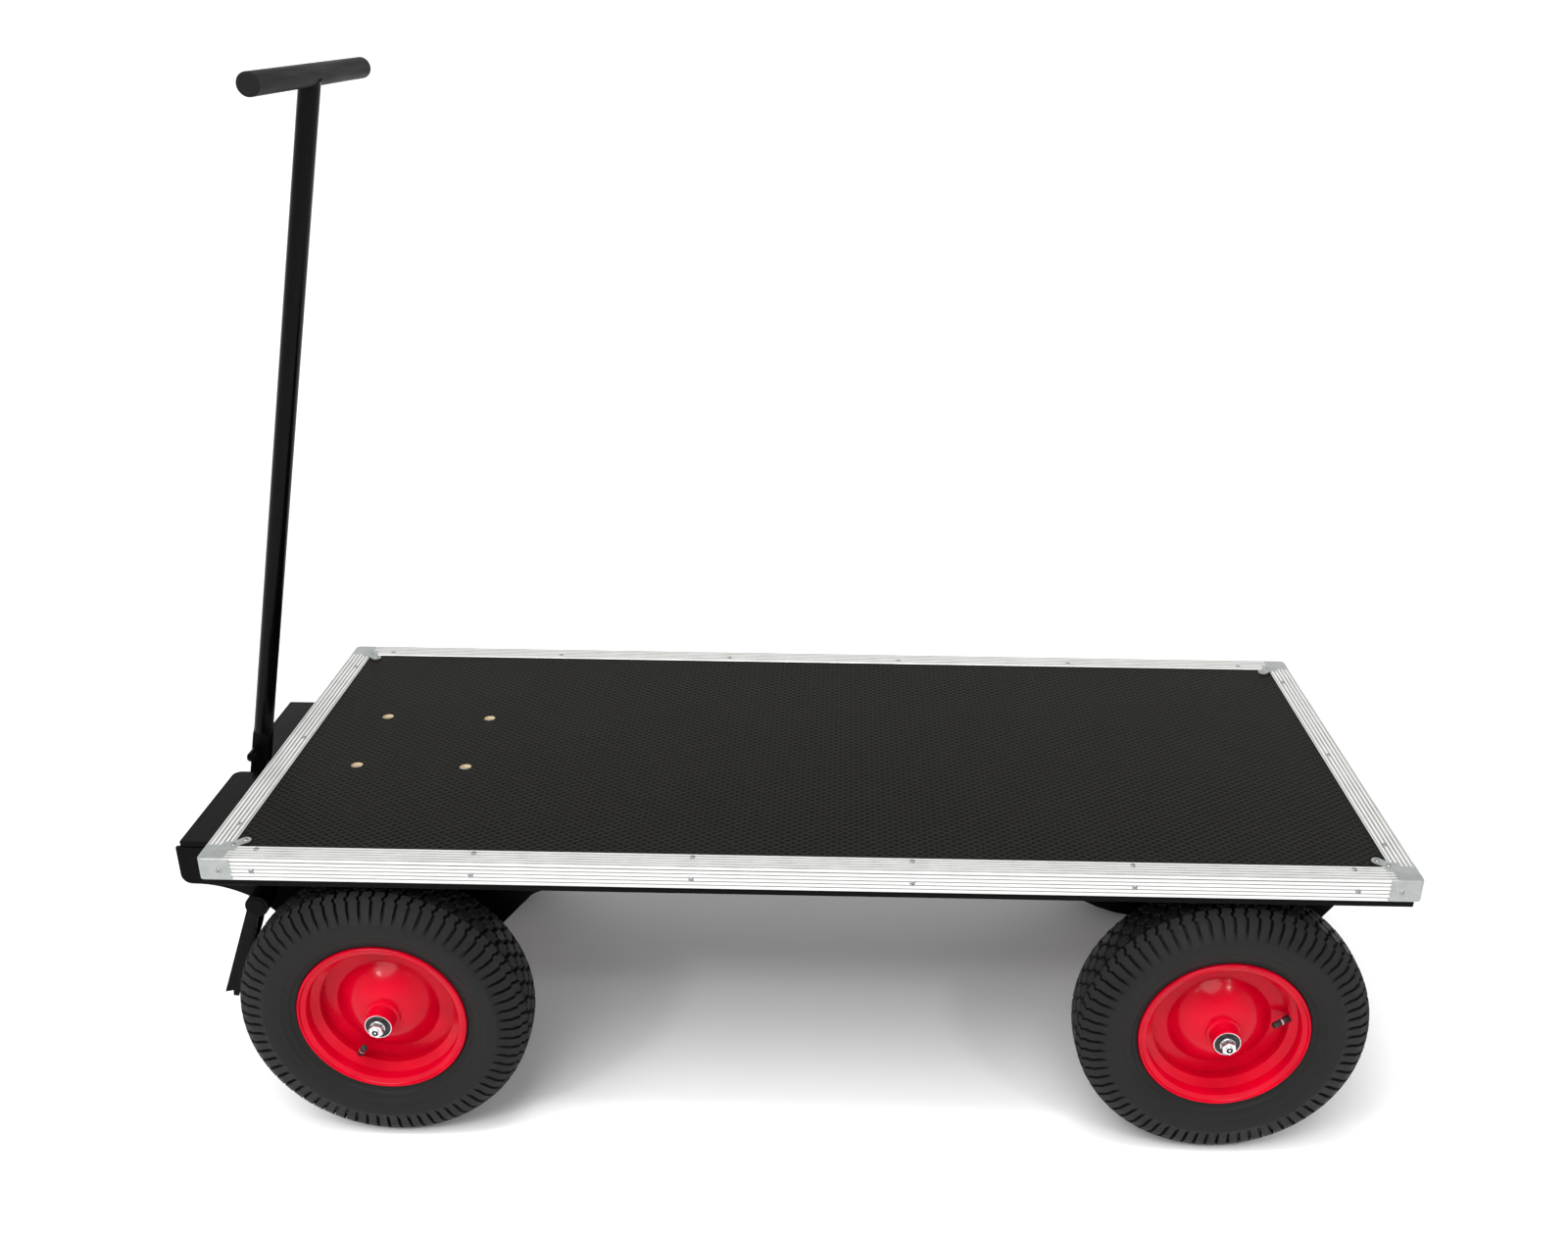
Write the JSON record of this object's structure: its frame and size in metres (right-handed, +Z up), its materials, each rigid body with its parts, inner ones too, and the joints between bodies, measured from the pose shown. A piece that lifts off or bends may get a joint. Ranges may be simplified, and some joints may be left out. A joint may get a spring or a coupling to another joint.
{
  "type": "platform trolley",
  "caption": "Platform trolley with a plywood deck in aluminium edging, a steered front bogie, pneumatic tyres on red rims, a tilting T-handle drawbar and a drawbar-worked tyre brake",
  "frame": {"origin": "On the floor, at the middle of the overall length and width", "axes": "+X runs to the rear of the trolley along its length, +Y to its right-hand side, +Z up"},
  "size_m": [1.584, 0.6836, 1.3289],
  "materials": {
    "deck_film": "phenolic film with a fine raised mesh over birch plywood",
    "edging_aluminium": "mill finish, fluted",
    "brace_zinc": "zinc plated, matt",
    "fixings_zinc": "bright zinc plated",
    "frame_paint": "black powder coat, satin",
    "drawbar_paint": "black powder coat, glossy",
    "brake_paint": "black powder coat, satin",
    "handle_steel": "dark grey, matt with faint streaks",
    "plug_plastic": "moulded black",
    "race_steel": "greased",
    "ball_steel": "hardened, bright",
    "axle_zinc": "zinc plated",
    "rim_red": "red powder coat, glossy",
    "bearing_steel": "bright rings with black seals",
    "tyre_rubber": "moulded block tread",
    "tube_rubber": "matt"
  },
  "bodies": {
    "deck": {"deck_board": "deck_film", "edging_sides": "edging_aluminium", "edging_ends": "edging_aluminium", "corner_braces": "brace_zinc", "edging_rivets": "fixings_zinc", "side_rail_left": "frame_paint", "side_rail_right": "frame_paint", "end_rails": "frame_paint", "cross_rails": "frame_paint", "turntable_plate": "frame_paint", "upper_race": "race_steel", "turntable_bolts": "fixings_zinc", "king_pin": "fixings_zinc", "rear_bogie_plate": "frame_paint", "rear_cheek_left": "frame_paint", "rear_cheek_right": "frame_paint", "rear_bogie_bolts": "fixings_zinc", "rear_axle": "axle_zinc", "rear_axle_tube": "frame_paint", "rear_wheel_nuts": "fixings_zinc"},
    "front_bogie": {"front_bogie_plate": "frame_paint", "front_cheek_left": "frame_paint", "front_cheek_right": "frame_paint", "lower_race": "race_steel", "turntable_balls": "ball_steel", "king_pin_collar": "frame_paint", "front_axle": "axle_zinc", "front_axle_tube": "frame_paint", "front_wheel_nuts": "fixings_zinc", "drawbar_lugs": "frame_paint", "drawbar_pivot_pin": "fixings_zinc", "brake_return_spring": "ball_steel"},
    "drawbar": {"drawbar_foot": "frame_paint", "drawbar_tube": "drawbar_paint", "handle_tube": "handle_steel", "handle_plugs": "plug_plastic", "drawbar_cross_pin": "frame_paint"},
    "brake": {"brake_shaft": "frame_paint", "brake_arm_left": "brake_paint", "brake_arm_right": "brake_paint", "brake_finger": "frame_paint"},
    "wheel_front_left": {"tyre_front_left": "tyre_rubber", "inner_tube_front_left": "tube_rubber", "rim_front_left": "rim_red", "bearings_front_left": "bearing_steel"},
    "wheel_front_right": {"tyre_front_right": "tyre_rubber", "inner_tube_front_right": "tube_rubber", "rim_front_right": "rim_red", "bearings_front_right": "bearing_steel"},
    "wheel_rear_left": {"tyre_rear_left": "tyre_rubber", "inner_tube_rear_left": "tube_rubber", "rim_rear_left": "rim_red", "bearings_rear_left": "bearing_steel"},
    "wheel_rear_right": {"tyre_rear_right": "tyre_rubber", "inner_tube_rear_right": "tube_rubber", "rim_rear_right": "rim_red", "bearings_rear_right": "bearing_steel"}
  },
  "joints": [
    {"name": "steer_turn", "type": "hinge", "parent": "deck", "child": "front_bogie", "pos_m": [-0.5125, 0, 0.404], "axis": [0, 0, 1], "range_deg": [-22, 22]},
    {"name": "drawbar_tilt", "type": "hinge", "parent": "front_bogie", "child": "drawbar", "pos_m": [-0.7589, 0, 0.372], "axis": [0, -1, 0], "range_deg": [0, 85]},
    {"name": "brake_release", "type": "hinge", "parent": "front_bogie", "child": "brake", "pos_m": [-0.6705, 0, 0.332], "axis": [0, 1, 0], "range_deg": [0, 9]},
    {"name": "wheel_front_left_spin", "type": "hinge", "parent": "front_bogie", "child": "wheel_front_left", "pos_m": [-0.5125, -0.274, 0.19], "axis": [0, 1, 0], "continuous": true},
    {"name": "wheel_front_right_spin", "type": "hinge", "parent": "front_bogie", "child": "wheel_front_right", "pos_m": [-0.5125, 0.274, 0.19], "axis": [0, 1, 0], "continuous": true},
    {"name": "wheel_rear_left_spin", "type": "hinge", "parent": "deck", "child": "wheel_rear_left", "pos_m": [0.5805, -0.274, 0.19], "axis": [0, 1, 0], "continuous": true},
    {"name": "wheel_rear_right_spin", "type": "hinge", "parent": "deck", "child": "wheel_rear_right", "pos_m": [0.5805, 0.274, 0.19], "axis": [0, 1, 0], "continuous": true}
  ],
  "couplings": [
    {"joint": "brake_release", "follows": "drawbar_tilt", "ratio": 0.1}
  ]
}
